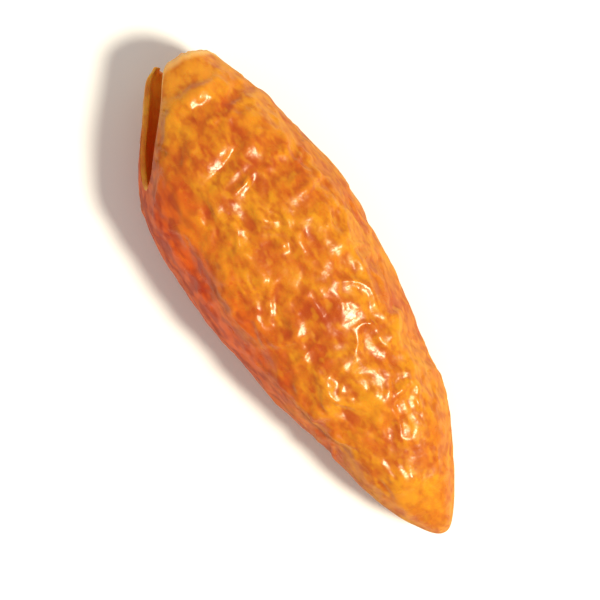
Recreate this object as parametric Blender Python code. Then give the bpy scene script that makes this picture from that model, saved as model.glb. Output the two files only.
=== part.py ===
"""A dried bird's eye chili pod, lying on its side.

The pod is one natural piece: a wrinkled, half collapsed skin that tapers from a torn, open stem end
to a blunt tip. It is one closed solid. +X runs from the stem end to the tip, +Z is up, and the
origin is under the middle of the pod, on the surface that it lies on.
"""

import math

import bmesh
import bpy
import numpy as np
from mathutils import Vector, noise

MM = 0.001

# Driving dimensions, in millimetres
LENGTH = 26.0
SKIN = 0.45
POCKET_DEPTH = 9.0
POCKET_HEIGHT = 2.4

# Mesh density: rings along the pod and points round it, closer together at the notch of the mouth
RINGS = 76
AROUND = 68
POCKET_RINGS = 8
TIP_CROWDING = 0.04
NOTCH_ANGLE = 152
NOTCH_CROWDING = 0.38

# The rings follow the slanting mouth at the stem end and straighten out by this far along
STRAIGHT_BY = 12.0

# The pod's outline: distance from the stem end, then the -Y and +Y edges as seen from above,
# and the underside and the top as seen from the side
OUTLINE = (
    (0.0, -1.45, 1.30, 1.90, 5.10),
    (1.9, -3.05, 1.95, 1.00, 5.95),
    (3.8, -4.25, 2.75, 0.45, 6.45),
    (5.7, -5.00, 3.25, 0.16, 6.75),
    (8.6, -5.28, 3.98, -0.05, 6.98),
    (11.4, -5.03, 4.00, -0.09, 6.95),
    (15.2, -4.28, 3.80, -0.02, 6.55),
    (19.0, -3.20, 3.38, 0.24, 5.80),
    (21.9, -2.47, 2.60, 0.60, 4.95),
    (23.8, -1.80, 1.70, 1.05, 4.20),
    (25.1, -1.05, 0.95, 1.55, 3.45),
    (LENGTH, 0.0, 0.0, 2.45, 2.45),
)
FULLNESS = 0.82

# The torn edge of the mouth: angle round the mesh, distance from the stem end, angle round the pod.
# Angles run from the +Y edge over the top. A long notch runs back along the -Y shoulder.
MOUTH_EDGE = (
    (0, 0.75, 0),
    (45, 0.35, 48),
    (88, 0.20, 91),
    (104, 0.40, 108),
    (118, 1.70, 119),
    (133, 3.60, 135),
    (143, 4.65, 147),
    (150, 4.90, 157),
    (157, 4.55, 166),
    (168, 3.30, 174),
    (182, 1.50, 180),
    (196, 0.10, 187),
    (215, 0.00, 205),
    (250, 0.30, 245),
    (300, 0.60, 300),
)

# Long folds where the skin has sunk in, and crests where it stands up, with a depth below 0:
# distance from the stem end and angle round the pod of one end, the same of the other end,
# half width, depth
FOLDS = (
    (6.0, 138, 16.5, 146, 0.95, 0.32),
    (15.5, 158, 22.0, 142, 0.80, 0.25),
    (4.9, 72, 6.5, 102, 0.45, 0.22),
    (9.0, 20, 22.0, 35, 0.90, 0.30),
    (3.0, 320, 19.0, 335, 1.00, 0.50),
    (6.0, 215, 21.0, 225, 1.00, 0.50),
    (10.5, 108, 17.5, 98, 1.00, 0.22),
    (1.7, 60, 2.9, 128, 0.45, -0.14),
    (15.0, 141, 21.0, 130, 0.40, -0.14),
    (13.8, 71, 17.4, 63, 0.38, -0.12),
    (9.8, 61, 12.2, 55, 0.35, -0.10),
    (13.3, 128, 14.7, 96, 0.38, -0.12),
)
ARC_PER_DEGREE = 0.065

# Broad dents, and the net of raised wrinkles over them, which comes and goes in patches
DENT_SIZE = 3.2
DENT_DEPTH = 0.25
WRINKLE_SPACING = 1.6
WRINKLE_WIDTH = 0.28
WRINKLE_HEIGHT = 0.22
WRINKLE_WANDER = 1.0
WANDER_SIZE = 1.3
WANDER_SHIFTS = (0.0, 17.3, 41.9)
PATCH_SIZE = 4.5
SMOOTH_RIM = 2.0
SMOOTH_TIP = 6.0
SMOOTH_SIDES = 0.4


def smooth_through(stations, values, at):
    """A smooth curve through the values, read at each place of an array."""
    step = np.diff(stations)
    rise = np.diff(values) / step
    inner = (rise[:-1] * step[1:] + rise[1:] * step[:-1]) / (step[1:] + step[:-1])
    slope = np.concatenate([rise[:1], inner, rise[-1:]])
    k = np.clip(np.searchsorted(stations, at) - 1, 0, len(step) - 1)
    t = (at - stations[k]) / step[k]
    from_start = values[k] * (1 + 2 * t) + slope[k] * step[k] * t
    from_end = values[k + 1] * (3 - 2 * t) + slope[k + 1] * step[k] * (t - 1)
    return from_start * (1 - t) ** 2 + from_end * t**2


def tip_angle(along):
    """Distance along the pod as an angle, in which an edge that runs straight to the end rounds the tip."""
    return np.arccos(1 - 2 * np.clip(along / LENGTH, 0, 1))


def outline_at(along):
    """The two side edges, the underside and the top at each place along the pod."""
    rows = np.array(OUTLINE)
    stations = tip_angle(rows[:, 0])
    return [smooth_through(stations, rows[:, c], tip_angle(along)) for c in range(1, 5)]


def mouth_edge_at(mesh_angle):
    """Distance from the stem end and angle round the pod of the torn edge, for each mesh angle."""
    rows = np.array(MOUTH_EDGE, float)
    turn = np.array([360, 0, 360])
    rows = np.concatenate([rows[-3:] - turn, rows, rows[:3] + turn])
    return [smooth_through(rows[:, 0], rows[:, c], mesh_angle) for c in (1, 2)]


def fold_depth(along, angle):
    """How far the folds sink the skin in, or the crests raise it."""
    depth = np.zeros(np.broadcast(along, angle).shape)
    for start, first, end, last, half_width, deepest in FOLDS:
        run, rise = end - start, (last - first) * ARC_PER_DEGREE
        length = math.hypot(run, rise)
        ahead = along - start
        across = ((angle - first + 180) % 360 - 180) * ARC_PER_DEGREE
        share = np.clip((ahead * run + across * rise) / length**2, 0, 1)
        off = (across * run - ahead * rise) / length
        depth += deepest * np.sin(math.pi * share) ** 1.2 * np.exp(-((off / half_width) ** 2))
    return depth


def section_points(along, angle, inset=0.0, height=math.inf):
    """Points on the pod's smooth section, set in by a depth and no taller inside than a height."""
    left, right, under, top = outline_at(along)
    half_width = (right - left) / 2
    half_height = np.minimum((top - under) / 2, height / 2 + inset)
    c, s = np.cos(np.radians(angle)), np.sin(np.radians(angle))
    y = half_width * np.sign(c) * np.abs(c) ** FULLNESS
    z = half_height * np.sign(s) * np.abs(s) ** FULLNESS
    radius = np.maximum(np.hypot(y, z), 1e-6)
    kept = np.maximum(1 - (fold_depth(along, angle) + inset) / radius, 0)
    return np.stack([along, (left + right) / 2 + y * kept, (under + top) / 2 + z * kept], -1)


def outward(grid):
    """The unit normals of a grid of points whose rings run anticlockwise round +X."""
    around = np.roll(grid, -1, 1) - np.roll(grid, 1, 1)
    normal = np.cross(around, np.gradient(grid, axis=0))
    return normal / np.maximum(np.linalg.norm(normal, axis=-1, keepdims=True), 1e-9)


def relief_at(point):
    """How far the skin stands out at a point of the smooth pod."""
    dents = DENT_DEPTH * noise.noise(point / DENT_SIZE + Vector((4, 4, 1)))
    patch = min(1.0, max(0.15, 0.7 + 0.8 * noise.noise(point / PATCH_SIZE + Vector((9, 2, 5)))))
    place = point / WRINKLE_SPACING + Vector((3.1, 7.7, 1.3))
    wander = [noise.noise(place / WANDER_SIZE + Vector((shift, 0, 0))) for shift in WANDER_SHIFTS]
    place += WRINKLE_WANDER * Vector(wander)
    crest = math.exp(-((noise.noise(place) / WRINKLE_WIDTH) ** 2))
    return dents + WRINKLE_HEIGHT * patch * crest


def mesh_angles():
    """The angles of the mesh points round a ring, closer together at the notch."""
    even = np.arange(AROUND) * 360 / AROUND
    return even - math.degrees(NOTCH_CROWDING) * np.sin(np.radians(even - NOTCH_ANGLE))


def ring_places():
    """How far along each ring is, before the mouth's slant, closer together at the round tip."""
    left = np.linspace(1, 0, RINGS + 1)[:-1]
    reach = np.sqrt(TIP_CROWDING**2 + left**2) - TIP_CROWDING
    return LENGTH * (1 - reach / reach[0])


def slack_at(ring, angle):
    """How freely the skin wrinkles: less along both sides, at the torn edge and at the tip."""
    sides = SMOOTH_SIDES + (1 - SMOOTH_SIDES) * np.abs(np.sin(np.radians(angle)))
    return sides * np.minimum(ring / SMOOTH_RIM, 1) * np.minimum((LENGTH - ring) / SMOOTH_TIP, 1)


def skin_grid():
    """The outer skin, in rings from the torn edge to the last ring before the tip."""
    ring, mesh_angle = ring_places()[:, None], mesh_angles()
    edge_along, edge_angle = mouth_edge_at(mesh_angle)
    slant = np.clip(1 - ring / STRAIGHT_BY, 0, 1)
    along = ring + slant * edge_along
    angle = mesh_angle + slant * (edge_angle - mesh_angle)
    grid = section_points(along, angle)
    relief = np.array([[relief_at(Vector(point)) for point in row] for row in grid])
    return grid + outward(grid) * (relief * slack_at(ring, angle))[..., None]


def pocket_grid():
    """The rounded lip and the inner wall, in rings from the torn edge down to the pocket's end."""
    mesh_angle = mesh_angles()
    edge_along, edge_angle = mouth_edge_at(mesh_angle)
    rings = [section_points(edge_along - SKIN / 4, edge_angle, SKIN / 2)]
    for share in np.linspace(0, 1, POCKET_RINGS + 1)[:-1]:
        along = edge_along + (POCKET_DEPTH - edge_along) * share
        angle = edge_angle + (mesh_angle - edge_angle) * share
        wide = section_points(along, angle, SKIN)
        low = section_points(along, angle, SKIN, POCKET_HEIGHT)
        ring = wide + (low - wide) * min(1, 4 * share)
        middle = ring.mean(0)
        ring[:, 1:] = middle[1:] + (ring[:, 1:] - middle[1:]) * math.sqrt(1 - share**2)
        rings.append(ring)
    return np.array(rings)


def pod_mesh():
    """The closed pod: outer skin, torn lip and pocket, flat underneath where it rests."""
    rings = np.concatenate([pocket_grid()[::-1], skin_grid()])
    tip = np.array([LENGTH, 0, OUTLINE[-1][3]])
    rings[..., 2] = np.maximum(rings[..., 2], 0)
    middle = (rings.min((0, 1)) + np.maximum(rings.max((0, 1)), tip)) / 2
    middle[2] = 0
    bm = bmesh.new()
    grid = [[bm.verts.new((point - middle) * MM) for point in ring] for ring in rings]
    pocket_end = bm.verts.new((rings[0].mean(0) - middle) * MM)
    pod_end = bm.verts.new((tip - middle) * MM)
    for j in range(AROUND):
        k = (j + 1) % AROUND
        bm.faces.new((pocket_end, grid[0][k], grid[0][j]))
        bm.faces.new((pod_end, grid[-1][j], grid[-1][k]))
        for ring, after in zip(grid, grid[1:]):
            bm.faces.new((ring[j], ring[k], after[k], after[j]))
    bmesh.ops.recalc_face_normals(bm, faces=bm.faces)
    mesh = bpy.data.meshes.new("chili_pod")
    bm.to_mesh(mesh)
    bm.free()
    mesh.shade_smooth()
    return mesh


def dried_skin():
    material = bpy.data.materials.new("dried_skin")
    material.use_nodes = True
    shader = material.node_tree.nodes["Principled BSDF"]
    shader.inputs["Base Color"].default_value = (0.80, 0.24, 0.02, 1)
    shader.inputs["Roughness"].default_value = 0.3
    shader.inputs["Metallic"].default_value = 0.0
    return material


def main():
    for thing in list(bpy.data.objects):
        bpy.data.objects.remove(thing)
    pod = bpy.data.objects.new("chili_pod", pod_mesh())
    pod.data.materials.append(dried_skin())
    bpy.context.scene.collection.objects.link(pod)


main()
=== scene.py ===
import math

import bpy
import numpy as np
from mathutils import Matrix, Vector, noise


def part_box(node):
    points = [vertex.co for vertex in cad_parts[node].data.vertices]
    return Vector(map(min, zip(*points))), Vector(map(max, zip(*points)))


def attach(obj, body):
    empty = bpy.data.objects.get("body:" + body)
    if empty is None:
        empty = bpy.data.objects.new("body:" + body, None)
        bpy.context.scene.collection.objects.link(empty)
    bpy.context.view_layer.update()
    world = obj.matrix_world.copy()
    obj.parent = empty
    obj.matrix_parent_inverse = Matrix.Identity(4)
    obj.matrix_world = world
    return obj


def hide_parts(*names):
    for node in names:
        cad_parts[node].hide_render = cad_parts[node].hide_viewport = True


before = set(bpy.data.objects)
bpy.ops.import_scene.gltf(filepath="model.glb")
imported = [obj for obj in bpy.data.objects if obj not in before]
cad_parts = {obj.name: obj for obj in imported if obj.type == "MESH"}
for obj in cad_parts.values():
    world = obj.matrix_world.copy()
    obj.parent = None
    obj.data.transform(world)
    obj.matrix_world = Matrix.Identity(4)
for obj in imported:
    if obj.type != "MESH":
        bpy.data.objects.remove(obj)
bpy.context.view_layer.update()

MM = 0.001

# The pod's form, in millimetres, as in the solid
LENGTH = 26.0
SKIN = 0.34
POCKET_DEPTH = 9.0
POCKET_HEIGHT = 2.8
STRAIGHT_BY = 12.0

# Distance from the stem end, the -Y and +Y edges, the underside and the top
OUTLINE = (
    (0.0, -1.45, 1.30, 1.90, 5.10),
    (1.9, -3.05, 1.95, 1.00, 5.95),
    (3.8, -4.25, 2.75, 0.45, 6.45),
    (5.7, -5.00, 3.25, 0.16, 6.75),
    (8.6, -5.28, 3.98, -0.05, 6.98),
    (11.4, -5.03, 4.00, -0.09, 6.95),
    (15.2, -4.28, 3.80, -0.02, 6.55),
    (19.0, -3.20, 3.38, 0.24, 5.80),
    (21.9, -2.47, 2.60, 0.60, 4.95),
    (23.8, -1.80, 1.70, 1.05, 4.20),
    (25.1, -1.05, 0.95, 1.55, 3.45),
    (LENGTH, 0.0, 0.0, 2.45, 2.45),
)
FULLNESS = 0.82

# Angle round the mesh, distance from the stem end and angle round the pod of the torn edge
MOUTH_EDGE = (
    (0, 0.75, 0),
    (45, 0.35, 48),
    (88, 0.20, 91),
    (104, 0.40, 108),
    (118, 1.70, 119),
    (133, 3.60, 135),
    (143, 4.65, 147),
    (150, 4.90, 157),
    (157, 4.55, 166),
    (168, 3.30, 174),
    (182, 1.50, 180),
    (196, 0.10, 187),
    (215, 0.00, 205),
    (250, 0.30, 245),
    (300, 0.60, 300),
)
RAGGED = 0.07
RAGGED_TEETH = 7.0
RAGGED_LEVEL = 0.3

# Folds, and crests with a depth below 0: distance from the stem end and angle round the pod of one
# end, the same of the other end, half width, depth
FOLDS = (
    (6.0, 138, 16.5, 146, 0.95, 0.32),
    (15.5, 158, 22.0, 142, 0.80, 0.25),
    (4.9, 72, 6.5, 102, 0.45, 0.22),
    (9.0, 20, 22.0, 35, 0.90, 0.30),
    (3.0, 320, 19.0, 335, 1.00, 0.50),
    (6.0, 215, 21.0, 225, 1.00, 0.50),
    (10.5, 108, 17.5, 98, 1.00, 0.22),
    (1.7, 60, 2.9, 128, 0.45, -0.14),
    (15.0, 141, 21.0, 130, 0.40, -0.14),
    (13.8, 71, 17.4, 63, 0.38, -0.12),
    (9.8, 61, 12.2, 55, 0.35, -0.10),
    (13.3, 128, 14.7, 96, 0.38, -0.12),
)
ARC_PER_DEGREE = 0.065
FOLD_TAPER = 1.2

# Broad dents, and the net of raised wrinkles over them, which comes and goes in patches
DENT_SIZE = 3.2
DENT_DEPTH = 0.25
WRINKLE_SPACING = 1.6
WRINKLE_WIDTH = 0.28
WRINKLE_HEIGHT = 0.14
WRINKLE_WANDER = 1.0
WANDER_SIZE = 1.3
WANDER_SHIFTS = (0.0, 17.3, 41.9)
PATCH_SIZE = 4.5
PATCH_LEAST = 0.15
PATCH_MIDDLE = 0.7
PATCH_SWING = 0.8
SMOOTH_RIM = 2.0
SMOOTH_TIP = 6.0
SMOOTH_SIDES = 0.4

# Where each noise is read, so that no two look alike
DENT_SHIFT = Vector((4, 4, 1))
PATCH_SHIFT = Vector((9, 2, 5))
WRINKLE_SHIFT = Vector((3.1, 7.7, 1.3))

# Where the top is most puckered: distance from the stem end, distance across to +Y, reach
PUCKERED = (
    (2.3, 0.0, 0.9),
    (5.5, 1.0, 0.7),
    (8.2, -0.4, 1.5),
    (9.3, -2.0, 0.8),
    (9.9, 2.0, 0.9),
    (10.8, 0.1, 0.6),
    (13.4, 2.7, 0.9),
    (14.1, 0.5, 1.5),
    (14.6, -1.7, 1.1),
    (16.2, 2.4, 0.9),
    (17.0, -3.0, 1.6),
    (19.4, 1.2, 1.2),
    (19.6, -2.7, 1.2),
    (22.5, -0.5, 0.9),
)
SLACK_BETWEEN = 0.6
SLACK_SIDES = 0.75
SLACK_UNDER = 0.8

# Small crests on the top: distance from the stem end, distance across, heading, half length, half
# width, height
SMALL_CRESTS = (
    (2.0, 0.1, 95, 1.1, 0.60, 0.16),
    (7.3, -0.7, 120, 0.5, 0.38, 0.12),
    (8.6, -0.3, 145, 0.6, 0.38, 0.12),
    (10.3, -0.1, 120, 0.3, 0.30, 0.09),
    (8.9, -2.2, 120, 0.4, 0.35, 0.16),
    (13.0, -0.3, 150, 0.6, 0.36, 0.12),
    (14.1, 0.8, 160, 0.8, 0.34, 0.12),
    (14.2, -2.0, 75, 0.8, 0.42, 0.18),
    (18.9, 1.2, 90, 0.9, 0.30, 0.07),
    (19.8, 1.0, 90, 0.8, 0.30, 0.07),
    (22.8, -0.5, 90, 0.6, 0.40, 0.08),
)

# The visible mesh is far finer than the solid's
RINGS = 300
AROUND = 270
POCKET_RINGS = 26
POCKET_NARROWS_BY = 0.25
LIP_TURNS = (45, 90, 135)
TIP_CROWDING = 0.03
NOTCH_ANGLE = 152
NOTCH_CROWDING = 0.25

# The finest relief, in metres
WRINKLE_INPUTS = {
    "Wrinkle height": 0.19 * MM,
    "Wrinkle spacing": 1.75 * MM,
    "Squiggle height": 0.08 * MM,
    "Squiggle spacing": 1.10 * MM,
    "Pucker height": 0.18 * MM,
    "Pucker spacing": 0.60 * MM,
    "Drawn out": 1.4,
    "Set in": 0.05 * MM,
    "Patch size": 3.0 * MM,
    "Seed": 36.0,
}
SEED_STEPS = {"patches": 3.0, "squiggles": 5.0, "puckers": 7.0}

# The noise where the relief's patches start and are full, and the relief's share at each
RELIEF_PATCHES = (0.38, 0.62, 0.4, 1.0)

# Each net's crest width and how far it wanders, and how its noise is drawn
WRINKLE_NET = (0.16, 2.2)
SQUIGGLE_NET = (0.15, 1.6)
NET_WARP_SCALE = 0.6
NET_DETAIL = 0.6
PUCKER_DETAIL = 1.0
INSIDE_FROM_RIM = -0.01

# Colours of the skin, and of its inside
ORANGE = (0.53, 0.126, 0.0020, 1)
PALE_ORANGE = (0.62, 0.225, 0.004, 1)
# Painted shade: brown laid into the hollows between the wrinkles
PAINTED_HOLLOW_SHADE = (0.37, 0.036, 0.001, 1)
RUST = (0.44, 0.048, 0.0012, 1)
AMBER = (0.68, 0.265, 0.006, 1)
FINE_RUST = (0.36, 0.040, 0.001, 1)
FLECK_AMBER = (0.74, 0.34, 0.006, 1)
# Painted shade: the -Y side, away from the lamp, darkened to red-brown, mottled between brown and
# red
FLANK_SHADE_BROWN = (0.38, 0.024, 0.0004, 1)
FLANK_SHADE_RED = (0.64, 0.085, 0.0010, 1)
# Painted light: a pale amber on the crests of the wrinkles
PAINTED_CREST_LIGHT = (0.70, 0.28, 0.007, 1)
# The stem end's paler amber: partly the skin's own tone, partly a painted broad sheen
STEM_AMBER_AND_SHEEN = (0.72, 0.29, 0.015, 1)
TORN_STRAW = (0.80, 0.50, 0.16, 1)
INNER_AMBER = (0.66, 0.24, 0.010, 1)
INNER_YELLOW = (0.80, 0.40, 0.02, 1)
INNER_BROWN = (0.72, 0.150, 0.006, 1)

# Patches of colour: size in millimetres, the noise where they start and are full, seed, detail
COLOUR_PATCHES = {
    "orange": (2.0, 0.40, 0.60, 1.0, 2.0),
    "rust": (1.3, 0.46, 0.66, 2.0, 1.0),
    "amber": (1.6, 0.30, 0.54, 4.0, 1.0),
    "fine rust": (0.30, 0.63, 0.34, 13.0, 1.0),
    "flecks": (0.40, 0.50, 0.72, 14.0, 1.0),
    "shaded_flank": (0.45, 0.38, 0.62, 15.0, 1.0),
    "stem end": (0.8, 0.35, 0.6, 9.0, 2.0),
}
PATCH_ROUGHNESS = 0.6
COLOURS_DRAWN_OUT = (0.6, 1.0, 1.0)

# How much of each colour shows where it is full
STRENGTHS = {
    "hollow_shade": 0.8,
    "rust": 0.6,
    "fine rust": 0.54,
    "flecks": 0.35,
    "stem end": 0.7,
    "torn": 0.7,
}

# Where along X or across on Y a colour starts and is full, in millimetres, and its share at each
AMBER_ALONG = (1.0, 12.0, 0.0, 0.28)
AMBER_ACROSS = (1.2, 4.2, 0.0, 0.35)
# Painted shade down the -Y side: it starts 1.2 mm off the middle and is full at 4 mm
FLANK_SHADE_ACROSS = (-1.2, -4.0, 0.0, 0.9)
# Painted light on the crests: weaker towards -Y, the side away from the lamp
CREST_LIGHT_ACROSS = (-3.5, 0.0, 0.20, 0.60)
STEM_END_ALONG = (-9.0, -11.8, 0.0, 1.0)
TORN_ALONG = (-10.0, -12.2, 0.0, 1.0)

# Where a colour starts and is full by how far the skin is raised, or by the distance from the rim
# Painted shade in the hollows and painted light on the crests, by how far the skin is raised
HOLLOW_SHADE_RAISED = (0.20, -0.12)
CREST_LIGHT_RAISED = (0.30, 0.80)
TORN_FROM_RIM = (0.35, 0.0)
INNER_STREAKS = (0.35, 0.65)
INNER_BROWN_FROM_RIM = (-0.8, -4.0)

# Gloss: the noise of its spots as size in millimetres, seed and detail, the roughness over that
# noise, and what the steep sides add to it
GLOSS_NOISE = (0.6, 5.0, 1.0)
GLOSS_SPOTS = (0.3, 0.7, 0.25, 0.34)
DULL_SIDES = (0.66, 0.36, 0.0, 0.42)
SKIN_IOR = 1.47
GLOSS_TINT = (1.0, 0.94, 0.80, 1)
INNER_ROUGHNESS = 0.6

# How much light passes into the skin, how far in millimetres, and how far each colour of it goes
SKIN_GLOW = (0.20, 0.5)
INNER_GLOW = (0.5, 0.8)
GLOW_COLOURS = (1.0, 0.30, 0.06)

# Each grain's size and depth in millimetres, seed and detail
SKIN_GRAIN = (0.22, 0.03, 6.0, 1.0)
INNER_GRAIN = (0.35, 0.06, 22.0, 2.0)
GRAIN_STRENGTH = 0.6

# The streaks inside: size in millimetres, seed and detail of their noise
STREAK_NOISE = (0.7, 21.0, 3.0)

# The floor, in metres
FLOOR_HALF = 0.6
FLOOR_LEVEL = -0.02 * MM
FLOOR_COLOUR = (0.92, 0.92, 0.92, 1)
FLOOR_ROUGHNESS = 0.8

# The picture: the pod's length runs down and a little right in it
PICTURE_TURN = math.radians(60.7)
CAMERA_HEIGHT = 0.162
CAMERA_LENS = 200
CAMERA_NEAREST = 0.001

# The lamp and the soft light of the room
LIGHT_HEADING = Vector((0.77, 0.64))
LIGHT_HEIGHT = math.radians(59)
LAMP_DISTANCE = 0.5
LAMP_SIZE = 0.09
LAMP_POWER = 2.85
LAMP_COLOUR = (1.0, 0.94, 0.76)
ROOM_COLOUR = (1.0, 0.92, 0.85, 1)
ROOM_STRENGTH = 0.56


def smooth_through(stations, values, at):
    """A smooth curve through the values, read at each place of an array."""
    step = np.diff(stations)
    rise = np.diff(values) / step
    inner = (rise[:-1] * step[1:] + rise[1:] * step[:-1]) / (step[1:] + step[:-1])
    slope = np.concatenate([rise[:1], inner, rise[-1:]])
    k = np.clip(np.searchsorted(stations, at) - 1, 0, len(step) - 1)
    t = (at - stations[k]) / step[k]
    from_start = values[k] * (1 + 2 * t) + slope[k] * step[k] * t
    from_end = values[k + 1] * (3 - 2 * t) + slope[k + 1] * step[k] * (t - 1)
    return from_start * (1 - t) ** 2 + from_end * t**2


def tip_angle(along):
    """Distance along as an angle, in which an edge that runs straight to the end rounds the tip."""
    return np.arccos(1 - 2 * np.clip(along / LENGTH, 0, 1))


def outline_at(along):
    """The two side edges, the underside and the top at each place along the pod."""
    rows = np.array(OUTLINE)
    stations = tip_angle(rows[:, 0])
    return [smooth_through(stations, rows[:, c], tip_angle(along)) for c in range(1, 5)]


def mouth_edge_at(mesh_angle):
    """Distance from the stem end and angle round the pod of the torn edge, for each mesh angle."""
    rows = np.array(MOUTH_EDGE, float)
    turn = np.array([360, 0, 360])
    rows = np.concatenate([rows[-3:] - turn, rows, rows[:3] + turn])
    along, angle = (smooth_through(rows[:, 0], rows[:, c], mesh_angle) for c in (1, 2))
    turns = np.radians(mesh_angle)
    teeth = [noise.noise(Vector((math.cos(a), math.sin(a), RAGGED_LEVEL)) * RAGGED_TEETH)
             for a in turns]
    return along + RAGGED * (1 + np.array(teeth)), angle


def fold_depth(along, angle):
    """How far the folds sink the skin in, or the crests raise it."""
    depth = np.zeros(np.broadcast(along, angle).shape)
    for start, first, end, last, half_width, deepest in FOLDS:
        run, rise = end - start, (last - first) * ARC_PER_DEGREE
        length = math.hypot(run, rise)
        ahead = along - start
        across = ((angle - first + 180) % 360 - 180) * ARC_PER_DEGREE
        share = np.clip((ahead * run + across * rise) / length**2, 0, 1)
        off = (across * run - ahead * rise) / length
        ends = np.sin(math.pi * share) ** FOLD_TAPER
        depth += deepest * ends * np.exp(-((off / half_width) ** 2))
    return depth


def section_points(along, angle, inset=0.0, height=math.inf):
    """Points on the pod's smooth section, set in by a depth and no taller inside than a height."""
    left, right, under, top = outline_at(along)
    half_width = (right - left) / 2
    half_height = np.minimum((top - under) / 2, height / 2 + inset)
    c, s = np.cos(np.radians(angle)), np.sin(np.radians(angle))
    y = half_width * np.sign(c) * np.abs(c) ** FULLNESS
    z = half_height * np.sign(s) * np.abs(s) ** FULLNESS
    radius = np.maximum(np.hypot(y, z), 1e-6)
    kept = np.maximum(1 - (fold_depth(along, angle) + inset) / radius, 0)
    return np.stack([along, (left + right) / 2 + y * kept, (under + top) / 2 + z * kept], -1)


def outward(grid):
    """The unit normals of a grid of points whose rings run anticlockwise round +X."""
    around = np.roll(grid, -1, 1) - np.roll(grid, 1, 1)
    normal = np.cross(around, np.gradient(grid, axis=0))
    return normal / np.maximum(np.linalg.norm(normal, axis=-1, keepdims=True), 1e-9)


def relief_at(point):
    """How far the skin stands out at a point of the smooth pod."""
    dents = DENT_DEPTH * noise.noise(point / DENT_SIZE + DENT_SHIFT)
    swing = PATCH_SWING * noise.noise(point / PATCH_SIZE + PATCH_SHIFT)
    patch = min(1.0, max(PATCH_LEAST, PATCH_MIDDLE + swing))
    place = point / WRINKLE_SPACING + WRINKLE_SHIFT
    wander = [noise.noise(place / WANDER_SIZE + Vector((shift, 0, 0))) for shift in WANDER_SHIFTS]
    place += WRINKLE_WANDER * Vector(wander)
    crest = math.exp(-((noise.noise(place) / WRINKLE_WIDTH) ** 2))
    return dents + WRINKLE_HEIGHT * patch * crest


def mesh_angles():
    """The angles of the mesh points round a ring, closer together at the notch."""
    even = np.arange(AROUND) * 360 / AROUND
    return even - math.degrees(NOTCH_CROWDING) * np.sin(np.radians(even - NOTCH_ANGLE))


def ring_places():
    """How far along each ring is, before the mouth's slant, closer together at the round tip."""
    left = np.linspace(1, 0, RINGS + 1)[:-1]
    reach = np.sqrt(TIP_CROWDING**2 + left**2) - TIP_CROWDING
    return LENGTH * (1 - reach / reach[0])


def slack_at(ring, angle, at_sides):
    """How freely the skin wrinkles: less along both sides, at the torn edge and at the tip."""
    sides = at_sides + (1 - at_sides) * np.abs(np.sin(np.radians(angle)))
    return sides * np.minimum(ring / SMOOTH_RIM, 1) * np.minimum((LENGTH - ring) / SMOOTH_TIP, 1)


def puckered_at(grid, angle):
    """How puckered each point is: on top a low share between the puckered places, 1 within them."""
    share = np.full(grid.shape[:2], SLACK_BETWEEN)
    for along, across, reach in PUCKERED:
        off = np.hypot(grid[..., 0] - along, grid[..., 1] - across) / reach
        share = np.maximum(share, SLACK_BETWEEN + (1 - SLACK_BETWEEN) * np.exp(-(off**4)))
    return np.where(np.sin(np.radians(angle)) > 0, share, SLACK_UNDER)


def small_crests_at(grid, angle):
    """How far the small crests on the top stand out at each point."""
    height = np.zeros(grid.shape[:2])
    for along, across, heading, half_length, half_width, rise in SMALL_CRESTS:
        c, s = math.cos(math.radians(heading)), math.sin(math.radians(heading))
        ahead, aside = grid[..., 0] - along, grid[..., 1] - across
        lengthwise = (ahead * c + aside * s) / half_length
        widthwise = (aside * c - ahead * s) / half_width
        height += rise * np.exp(-(lengthwise**2 + widthwise**2))
    return np.where(np.sin(np.radians(angle)) > 0, height, 0)


def skin_grid():
    """The outer skin in rings, from the torn edge to the last one before the tip, and its slack."""
    ring, mesh_angle = ring_places()[:, None], mesh_angles()
    edge_along, edge_angle = mouth_edge_at(mesh_angle)
    slant = np.clip(1 - ring / STRAIGHT_BY, 0, 1)
    along = ring + slant * edge_along
    angle = mesh_angle + slant * (edge_angle - mesh_angle)
    grid = section_points(along, angle)
    relief = np.array([[relief_at(Vector(point)) for point in row] for row in grid])
    raised = relief * slack_at(ring, angle, SMOOTH_SIDES) + small_crests_at(grid, angle)
    slack = slack_at(ring, angle, SLACK_SIDES) * puckered_at(grid, angle)
    return grid + outward(grid) * raised[..., None], slack


def pocket_grid():
    """The rounded lip and the inner wall, in rings from the torn edge down to the pocket's end."""
    mesh_angle = mesh_angles()
    edge_along, edge_angle = mouth_edge_at(mesh_angle)
    rings = []
    for turn in LIP_TURNS:
        lift = SKIN / 2 * math.sin(math.radians(turn))
        depth = SKIN / 2 * (1 - math.cos(math.radians(turn)))
        rings.append(section_points(edge_along - lift, edge_angle, depth))
    for share in np.linspace(0, 1, POCKET_RINGS + 1)[:-1]:
        along = edge_along + (POCKET_DEPTH - edge_along) * share
        angle = edge_angle + (mesh_angle - edge_angle) * share
        wide = section_points(along, angle, SKIN)
        low = section_points(along, angle, SKIN, POCKET_HEIGHT)
        ring = wide + (low - wide) * min(1, share / POCKET_NARROWS_BY)
        middle = ring.mean(0)
        ring[:, 1:] = middle[1:] + (ring[:, 1:] - middle[1:]) * math.sqrt(1 - share**2)
        rings.append(ring)
    return np.array(rings)


def keep(mesh, name, on_rings, at_ends):
    """Stores a number for each point of the pod's mesh."""
    attribute = mesh.attributes.new(name, "FLOAT", "POINT")
    attribute.data.foreach_set("value", np.concatenate([on_rings, at_ends]).astype(np.float32))


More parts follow.
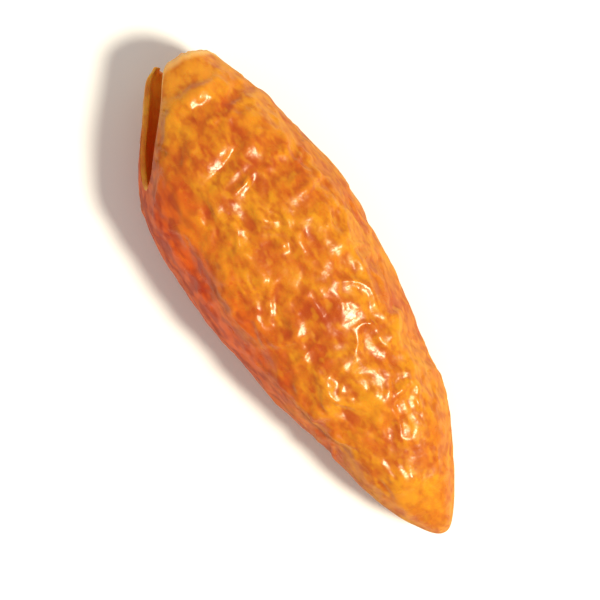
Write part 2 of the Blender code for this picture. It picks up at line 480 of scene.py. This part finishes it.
def pod_base():
    """The closed pod without its fine wrinkles, with what its materials need at each point."""
    pocket = pocket_grid()[::-1]
    skin, slack = skin_grid()
    rings = np.concatenate([pocket, skin])
    tip = np.array([LENGTH, 0, OUTLINE[-1][3]])
    rings[..., 2] = np.maximum(rings[..., 2], 0)
    middle = (rings.min((0, 1)) + np.maximum(rings.max((0, 1)), tip)) / 2
    low, high = (np.array(corner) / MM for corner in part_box("chili_pod"))
    shift = (low + high) / 2 - middle
    shift[2] = 0
    points = np.concatenate([rings.reshape(-1, 3), rings[:1].mean(1), tip[None]]) + shift
    pocket_end = len(rings) * AROUND
    tip_point = pocket_end + 1
    last_ring = pocket_end - AROUND
    faces = []
    for j in range(AROUND):
        k = (j + 1) % AROUND
        faces.append((pocket_end, k, j))
        faces.append((tip_point, last_ring + j, last_ring + k))
        for ring in range(0, last_ring, AROUND):
            faces.append((ring + j, ring + k, ring + AROUND + k, ring + AROUND + j))
    mesh = bpy.data.meshes.new("pod_base")
    mesh.from_pydata((points * MM).tolist(), [], faces)

    # Distance from the torn edge: below 0 on the lip and in the pocket, above 0 on the skin
    down = np.concatenate([np.linspace(-POCKET_DEPTH, 0, len(pocket)), ring_places()])
    keep(mesh, "from_rim", np.repeat(down, AROUND), (-POCKET_DEPTH, LENGTH))
    keep(mesh, "slack", np.concatenate([np.zeros(pocket.shape[:2]), slack]).ravel(), (0, 0))
    mesh.shade_smooth()
    return mesh


def add(tree, kind, inputs=None, **settings):
    """A new node with its settings, and its inputs set to values or linked from other nodes."""
    node = tree.nodes.new(kind)
    for name, value in settings.items():
        setattr(node, name, value)
    for key, value in (inputs or {}).items():
        if isinstance(value, bpy.types.NodeSocket):
            tree.links.new(value, node.inputs[key])
        else:
            node.inputs[key].default_value = value
    return node.outputs


def calc(tree, operation, *values):
    """A Math node's result."""
    return add(tree, "ShaderNodeMath", dict(enumerate(values)), operation=operation)[0]


def vector_calc(tree, operation, *values):
    """A Vector Math node's result."""
    return add(tree, "ShaderNodeVectorMath", dict(enumerate(values)), operation=operation)[0]


def combine(tree, value):
    """One number as all three parts of a vector."""
    return add(tree, "ShaderNodeCombineXYZ", {0: value, 1: value, 2: value})[0]


def spread(tree, value, low, high, to_low=0.0, to_high=1.0):
    """A value's range mapped to another, held at its ends and eased between them."""
    ends = {"From Min": low, "From Max": high, "To Min": to_low, "To Max": to_high}
    inputs = {"Value": value, **ends}
    return add(tree, "ShaderNodeMapRange", inputs, interpolation_type="SMOOTHSTEP")[0]


def stored_number(tree, name):
    """A number that the mesh keeps at each point, read in a geometry tree."""
    return add(tree, "GeometryNodeInputNamedAttribute", {"Name": name}, data_type="FLOAT")[0]


def cloud(tree, place, scale, seed, detail=0.0, roughness=0.5):
    """Soft noise between 0 and 1."""
    inputs = {"Vector": place, "Scale": scale, "W": seed, "Detail": detail, "Roughness": roughness}
    return add(tree, "ShaderNodeTexNoise", inputs, noise_dimensions="4D")


def crest_net(tree, place, spacing, seed, width, wander):
    """Narrow crests that wander: 1 where a warped noise is at its middle value, 0 away from it."""
    scaled = vector_calc(tree, "DIVIDE", place, combine(tree, spacing))
    warp = cloud(tree, scaled, NET_WARP_SCALE, seed)["Color"]
    warp = vector_calc(tree, "SUBTRACT", warp, (0.5, 0.5, 0.5))
    warped = vector_calc(tree, "ADD", scaled, vector_calc(tree, "MULTIPLY", warp, (wander,) * 3))
    level = cloud(tree, warped, 1.0, seed, NET_DETAIL)[0]
    off = calc(tree, "ABSOLUTE", calc(tree, "SUBTRACT", level, 0.5))
    return spread(tree, off, 0.0, width, 1.0, 0.0)


def wrinkle_tree():
    """Raises fine wrinkles, squiggles and puckers, and keeps how far each point stands out."""
    tree = bpy.data.node_groups.new("fine_wrinkles", "GeometryNodeTree")
    tree.interface.new_socket("Geometry", in_out="OUTPUT", socket_type="NodeSocketGeometry")
    tree.interface.new_socket("Geometry", in_out="INPUT", socket_type="NodeSocketGeometry")
    for name in WRINKLE_INPUTS:
        tree.interface.new_socket(name, in_out="INPUT", socket_type="NodeSocketFloat")
    for name in ("Skin", "Inner skin"):
        tree.interface.new_socket(name, in_out="INPUT", socket_type="NodeSocketMaterial")
    given = add(tree, "NodeGroupInput")

    def seed_of(part):
        return calc(tree, "ADD", given["Seed"], SEED_STEPS[part])

    def per_metre(size):
        return calc(tree, "DIVIDE", 1.0, given[size])

    # They run along the pod more than across it, and come and go in patches where the skin is slack
    shorter = calc(tree, "DIVIDE", 1.0, given["Drawn out"])
    narrowed = add(tree, "ShaderNodeCombineXYZ", {0: shorter, 1: 1.0, 2: 1.0})[0]
    place = add(tree, "GeometryNodeInputPosition")[0]
    place = vector_calc(tree, "MULTIPLY", place, narrowed)
    patch = cloud(tree, place, per_metre("Patch size"), seed_of("patches"))[0]
    patch = spread(tree, patch, *RELIEF_PATCHES)
    wrinkle = crest_net(tree, place, given["Wrinkle spacing"], given["Seed"], *WRINKLE_NET)
    spacing = given["Squiggle spacing"]
    squiggle = crest_net(tree, place, spacing, seed_of("squiggles"), *SQUIGGLE_NET)
    pucker = cloud(tree, place, per_metre("Pucker spacing"), seed_of("puckers"), PUCKER_DETAIL)[0]
    wrinkle = calc(tree, "MULTIPLY", wrinkle, patch)
    squiggle = calc(tree, "MULTIPLY", squiggle, patch)
    pucker = calc(tree, "SUBTRACT", pucker, 0.5)
    height = calc(tree, "MULTIPLY", wrinkle, given["Wrinkle height"])
    height = calc(tree, "MULTIPLY_ADD", squiggle, given["Squiggle height"], height)
    height = calc(tree, "MULTIPLY_ADD", pucker, given["Pucker height"], height)
    highest = calc(tree, "ADD", given["Wrinkle height"], given["Pucker height"])
    raised = calc(tree, "DIVIDE", height, highest)
    height = calc(tree, "SUBTRACT", height, given["Set in"])
    height = calc(tree, "MULTIPLY", height, stored_number(tree, "slack"))
    normal = add(tree, "GeometryNodeInputNormal")[0]
    offset = vector_calc(tree, "MULTIPLY", normal, combine(tree, height))
    kept = {"Geometry": given["Geometry"], "Name": "raised", "Value": raised}
    on_points = {"data_type": "FLOAT", "domain": "POINT"}
    stored = add(tree, "GeometryNodeStoreNamedAttribute", kept, **on_points)[0]
    moved = add(tree, "GeometryNodeSetPosition", {"Geometry": stored, "Offset": offset})[0]

    # The pod lies on its underside, which stays flat
    parts = add(tree, "ShaderNodeSeparateXYZ", {0: add(tree, "GeometryNodeInputPosition")[0]})
    above = calc(tree, "MAXIMUM", parts[2], 0.0)
    on_floor = add(tree, "ShaderNodeCombineXYZ", {0: parts[0], 1: parts[1], 2: above})[0]
    laid = add(tree, "GeometryNodeSetPosition", {"Geometry": moved, "Position": on_floor})[0]
    real = add(tree, "GeometryNodeRealizeInstances", {"Geometry": laid})[0]
    skin = {"Geometry": real, "Material": given["Skin"]}
    skinned = add(tree, "GeometryNodeSetMaterial", skin)[0]
    inside = calc(tree, "LESS_THAN", stored_number(tree, "from_rim"), INSIDE_FROM_RIM)
    inner = {"Geometry": skinned, "Selection": inside, "Material": given["Inner skin"]}
    finished = add(tree, "GeometryNodeSetMaterial", inner)[0]
    add(tree, "NodeGroupOutput", {"Geometry": finished})
    return tree


def wrinkled_pod(skin, inner_skin):
    """The finished pod as a plain mesh."""
    base = bpy.data.objects.new("pod_base", pod_base())
    bpy.context.scene.collection.objects.link(base)
    tree = wrinkle_tree()
    wrinkles = base.modifiers.new("fine_wrinkles", "NODES")
    wrinkles.node_group = tree
    items = tree.interface.items_tree
    sockets = {item.name: item.identifier for item in items if item.in_out == "INPUT"}
    for name, value in WRINKLE_INPUTS.items():
        wrinkles[sockets[name]] = value
    wrinkles[sockets["Skin"]] = skin
    wrinkles[sockets["Inner skin"]] = inner_skin
    graph = bpy.context.evaluated_depsgraph_get()
    mesh = bpy.data.meshes.new_from_object(base.evaluated_get(graph), depsgraph=graph)
    mesh.name = "pod_skin"
    bpy.data.objects.remove(base)
    mesh.shade_smooth()
    pod = bpy.data.objects.new("pod_skin", mesh)
    bpy.context.scene.collection.objects.link(pod)
    return pod


def blend_colours(tree, share, first, second):
    """Two colours mixed by a share."""
    return add(tree, "ShaderNodeMix", {"Factor": share, 6: first, 7: second}, data_type="RGBA")[2]


def new_material(name):
    """A material with its shader, and where on the object each point is."""
    material = bpy.data.materials.new(name)
    material.use_nodes = True
    tree = material.node_tree
    return material, tree, tree.nodes["Principled BSDF"], add(tree, "ShaderNodeTexCoord")["Object"]


def skin_number(tree, name):
    """A number that the mesh keeps at each point, read in a material."""
    return add(tree, "ShaderNodeAttribute", attribute_name=name)["Fac"]


def spots(tree, place, size, seed, detail):
    """Uneven noise, its spots of a size in millimetres."""
    return cloud(tree, place, 1 / (size * MM), seed, detail, PATCH_ROUGHNESS)[0]


def let_light_in(shader, weight, reach):
    """Lets light pass a little way into the skin, red the furthest."""
    shader.inputs["Subsurface Weight"].default_value = weight
    shader.inputs["Subsurface Radius"].default_value = GLOW_COLOURS
    shader.inputs["Subsurface Scale"].default_value = reach * MM


def roughen(tree, shader, place, size, depth, seed, detail):
    """A fine grain on the surface, its size and depth in millimetres."""
    height = cloud(tree, place, 1 / (size * MM), seed, detail)[0]
    inputs = {"Height": height, "Distance": depth * MM, "Strength": GRAIN_STRENGTH}
    tree.links.new(add(tree, "ShaderNodeBump", inputs)[0], shader.inputs["Normal"])


def dried_skin():
    """Glossy dried fruit skin: orange, mottled with rust, amber to the tip and the +Y side, with
    painted light in amber on its crests and painted shade in its hollows and on its -Y side.
    """
    material, tree, shader, place = new_material("dried_skin")
    parts = add(tree, "ShaderNodeSeparateXYZ", {0: place})
    along, across = parts[0], parts[1]
    from_rim, raised = skin_number(tree, "from_rim"), skin_number(tree, "raised")
    drawn_out = vector_calc(tree, "MULTIPLY", place, COLOURS_DRAWN_OUT)

    def patches(name):
        size, start, full, seed, detail = COLOUR_PATCHES[name]
        return spread(tree, spots(tree, drawn_out, size, seed, detail), start, full)

    def between(position, start, full, at_start, at_full):
        return spread(tree, position, start * MM, full * MM, at_start, at_full)

    def laid_over(colour, name, share, new_colour):
        share = calc(tree, "MULTIPLY", share, STRENGTHS[name])
        return blend_colours(tree, share, colour, new_colour)

    colour = blend_colours(tree, patches("orange"), ORANGE, PALE_ORANGE)
    # Painted shade: brown in the hollows, where the skin is raised least
    colour = laid_over(colour, "hollow_shade", spread(tree, raised, *HOLLOW_SHADE_RAISED), PAINTED_HOLLOW_SHADE)
    colour = laid_over(colour, "rust", patches("rust"), RUST)
    amber = calc(tree, "ADD", between(along, *AMBER_ALONG), between(across, *AMBER_ACROSS))
    amber = calc(tree, "MULTIPLY", amber, patches("amber"))
    colour = blend_colours(tree, amber, colour, AMBER)
    colour = laid_over(colour, "fine rust", patches("fine rust"), FINE_RUST)
    colour = laid_over(colour, "flecks", patches("flecks"), FLECK_AMBER)
    # Painted shade: the -Y side, away from the lamp, turns red-brown
    shaded_flank = blend_colours(tree, patches("shaded_flank"), FLANK_SHADE_BROWN, FLANK_SHADE_RED)
    colour = blend_colours(tree, between(across, *FLANK_SHADE_ACROSS), colour, shaded_flank)
    # Painted light: the crests turn lighter amber, less so towards the -Y side away from the lamp
    crests = spread(tree, raised, *CREST_LIGHT_RAISED)
    crests = calc(tree, "MULTIPLY", crests, between(across, *CREST_LIGHT_ACROSS))
    colour = blend_colours(tree, crests, colour, PAINTED_CREST_LIGHT)
    # Paler amber at the stem end: partly own tone, partly a painted broad sheen
    stem_amber_and_sheen = calc(tree, "MULTIPLY", between(along, *STEM_END_ALONG), patches("stem end"))
    colour = laid_over(colour, "stem end", stem_amber_and_sheen, STEM_AMBER_AND_SHEEN)
    torn = spread(tree, from_rim, *TORN_FROM_RIM)
    torn = calc(tree, "MULTIPLY", torn, between(along, *TORN_ALONG))
    colour = laid_over(colour, "torn", torn, TORN_STRAW)
    tree.links.new(colour, shader.inputs["Base Color"])

    normal = add(tree, "ShaderNodeNewGeometry")["Normal"]
    facing_up = add(tree, "ShaderNodeSeparateXYZ", {0: normal})[2]
    sides = spread(tree, facing_up, *DULL_SIDES)
    rough = spread(tree, spots(tree, place, *GLOSS_NOISE), *GLOSS_SPOTS)
    rough = calc(tree, "ADD", rough, sides)
    tree.links.new(rough, shader.inputs["Roughness"])
    shader.inputs["IOR"].default_value = SKIN_IOR
    shader.inputs["Specular Tint"].default_value = GLOSS_TINT
    let_light_in(shader, *SKIN_GLOW)
    roughen(tree, shader, place, *SKIN_GRAIN)
    return material


def inner_skin():
    """The dull inside of the skin: amber at the torn edge, rusty brown deeper in."""
    material, tree, shader, place = new_material("inner_skin")
    streaks = spread(tree, spots(tree, place, *STREAK_NOISE), *INNER_STREAKS)
    colour = blend_colours(tree, streaks, INNER_AMBER, INNER_YELLOW)
    deep = spread(tree, skin_number(tree, "from_rim"), *INNER_BROWN_FROM_RIM)
    colour = blend_colours(tree, deep, colour, INNER_BROWN)
    tree.links.new(colour, shader.inputs["Base Color"])
    shader.inputs["Roughness"].default_value = INNER_ROUGHNESS
    let_light_in(shader, *INNER_GLOW)
    roughen(tree, shader, place, *INNER_GRAIN)
    return material


def floor():
    """The pale surface that the pod lies on."""
    directions = ((-1, -1), (1, -1), (1, 1), (-1, 1))
    corners = [(x * FLOOR_HALF, y * FLOOR_HALF, FLOOR_LEVEL) for x, y in directions]
    mesh = bpy.data.meshes.new("floor")
    mesh.from_pydata(corners, [], [(0, 1, 2, 3)])
    material = bpy.data.materials.new("pale_floor")
    material.use_nodes = True
    shader = material.node_tree.nodes["Principled BSDF"]
    shader.inputs["Base Color"].default_value = FLOOR_COLOUR
    shader.inputs["Roughness"].default_value = FLOOR_ROUGHNESS
    mesh.materials.append(material)
    surface = bpy.data.objects.new("floor", mesh)
    bpy.context.scene.collection.objects.link(surface)
    return surface


def lights():
    """A compact lamp from the tip's side, as in the photograph, and soft light from all round."""
    flat = LIGHT_HEADING.normalized() * math.cos(LIGHT_HEIGHT)
    heading = Vector((flat.x, flat.y, math.sin(LIGHT_HEIGHT)))
    data = bpy.data.lights.new("key", "AREA")
    data.shape = "DISK"
    data.size = LAMP_SIZE
    data.energy = LAMP_POWER
    data.color = LAMP_COLOUR
    lamp = bpy.data.objects.new("key", data)
    lamp.location = heading * LAMP_DISTANCE
    lamp.rotation_mode = "QUATERNION"
    lamp.rotation_quaternion = heading.to_track_quat("Z", "Y")
    bpy.context.scene.collection.objects.link(lamp)
    world = bpy.data.worlds.new("soft_room")
    world.use_nodes = True
    background = world.node_tree.nodes["Background"]
    background.inputs["Color"].default_value = ROOM_COLOUR
    background.inputs["Strength"].default_value = ROOM_STRENGTH
    bpy.context.scene.world = world


def camera():
    """Straight above, turned so that the pod's length runs down the picture as photographed."""
    data = bpy.data.cameras.new("camera")
    data.lens = CAMERA_LENS
    data.clip_start = CAMERA_NEAREST
    eye = bpy.data.objects.new("camera", data)
    eye.location = (0, 0, CAMERA_HEIGHT)
    eye.rotation_euler = (0, 0, PICTURE_TURN)
    bpy.context.scene.collection.objects.link(eye)
    bpy.context.scene.camera = eye


camera()
lights()
floor()
pod = wrinkled_pod(dried_skin(), inner_skin())
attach(pod, "root")
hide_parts("chili_pod")
bpy.context.scene.view_settings.view_transform = "Standard"
